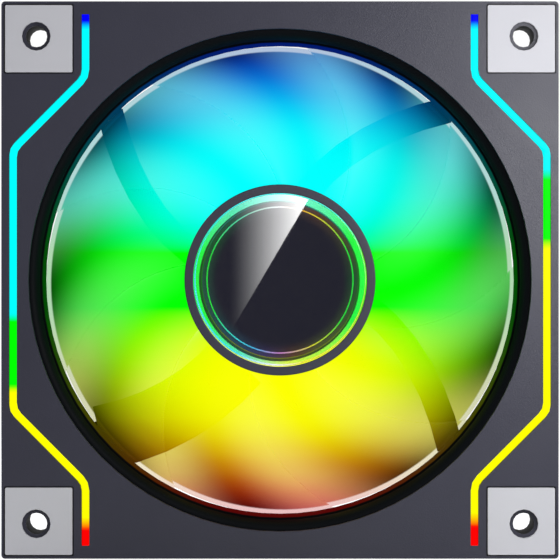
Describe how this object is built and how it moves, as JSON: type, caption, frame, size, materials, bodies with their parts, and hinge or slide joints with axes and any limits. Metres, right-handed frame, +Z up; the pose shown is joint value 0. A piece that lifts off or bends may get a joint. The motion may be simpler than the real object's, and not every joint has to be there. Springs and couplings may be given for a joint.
{
  "type": "computer case fan",
  "caption": "Square 120 mm computer case fan with translucent lit blades, a mirrored hub and light bars in its front face.",
  "frame": {"origin": "on the shaft's axis, at half the fan's depth", "axes": "+X to the right and +Z up as seen from the front, +Y from the front to the rear along the shaft's axis"},
  "size_m": [0.12, 0.025, 0.12],
  "materials": {
    "grey_plastic": "fine-grained moulded plastic, dark purple-grey",
    "black_plastic": "near-black moulded plastic, slightly shiny",
    "light_plastic": "frosted light guide, lit from behind",
    "blade_plastic": "frosted translucent blades, lit from behind",
    "pad_rubber": "light grey rubber",
    "mirror_glass": "dark half-silvered front disc",
    "mirror_film": "mirror film",
    "circuit_board": "printed circuit board with its parts",
    "black_lead": "flat flexible lead",
    "steel": "plain steel",
    "brass": "turned brass",
    "bronze": "sintered bronze, oiled",
    "copper": null,
    "magnet": "bonded ferrite",
    "nylon": "natural nylon",
    "label_film": "blank dark film label"
  },
  "bodies": {
    "housing": {"frame_body": "black_plastic", "front_bezel": "grey_plastic", "left_light_bar": "light_plastic", "right_light_bar": "light_plastic", "left_led_board": "circuit_board", "right_led_board": "circuit_board", "led_link_cable": "black_lead", "front_pad_top_left": "pad_rubber", "rear_pad_top_left": "pad_rubber", "bezel_screw_top_left": "steel", "front_pad_top_right": "pad_rubber", "rear_pad_top_right": "pad_rubber", "bezel_screw_top_right": "steel", "front_pad_bottom_left": "pad_rubber", "rear_pad_bottom_left": "pad_rubber", "bezel_screw_bottom_left": "steel", "front_pad_bottom_right": "pad_rubber", "rear_pad_bottom_right": "pad_rubber", "bezel_screw_bottom_right": "steel", "left_side_cover": "grey_plastic", "right_side_cover": "grey_plastic", "cable_socket": "nylon", "socket_board": "circuit_board", "side_led_lead": "black_lead", "motor_lead": "black_lead", "strut_cover": "black_plastic", "rear_label": "label_film", "motor_board": "circuit_board", "stator_core": "steel", "front_insulator": "nylon", "rear_insulator": "nylon", "coil_1": "copper", "coil_2": "copper", "coil_3": "copper", "coil_4": "copper", "bearing_tube": "brass", "sleeve_bearing": "bronze", "thrust_pad": "nylon"},
    "rotor": {"impeller": "blade_plastic", "hub_trim_ring": "grey_plastic", "front_mirror": "mirror_glass", "light_ring": "light_plastic", "rear_mirror": "mirror_film", "rotor_yoke": "steel", "ring_magnet": "magnet", "shaft_bush": "brass", "shaft": "steel", "shaft_clip": "nylon"}
  },
  "joints": [
    {"name": "rotor_spin", "type": "hinge", "parent": "housing", "child": "rotor", "pos_m": [0, 0, 0], "axis": [0, -1, 0], "continuous": true}
  ]
}
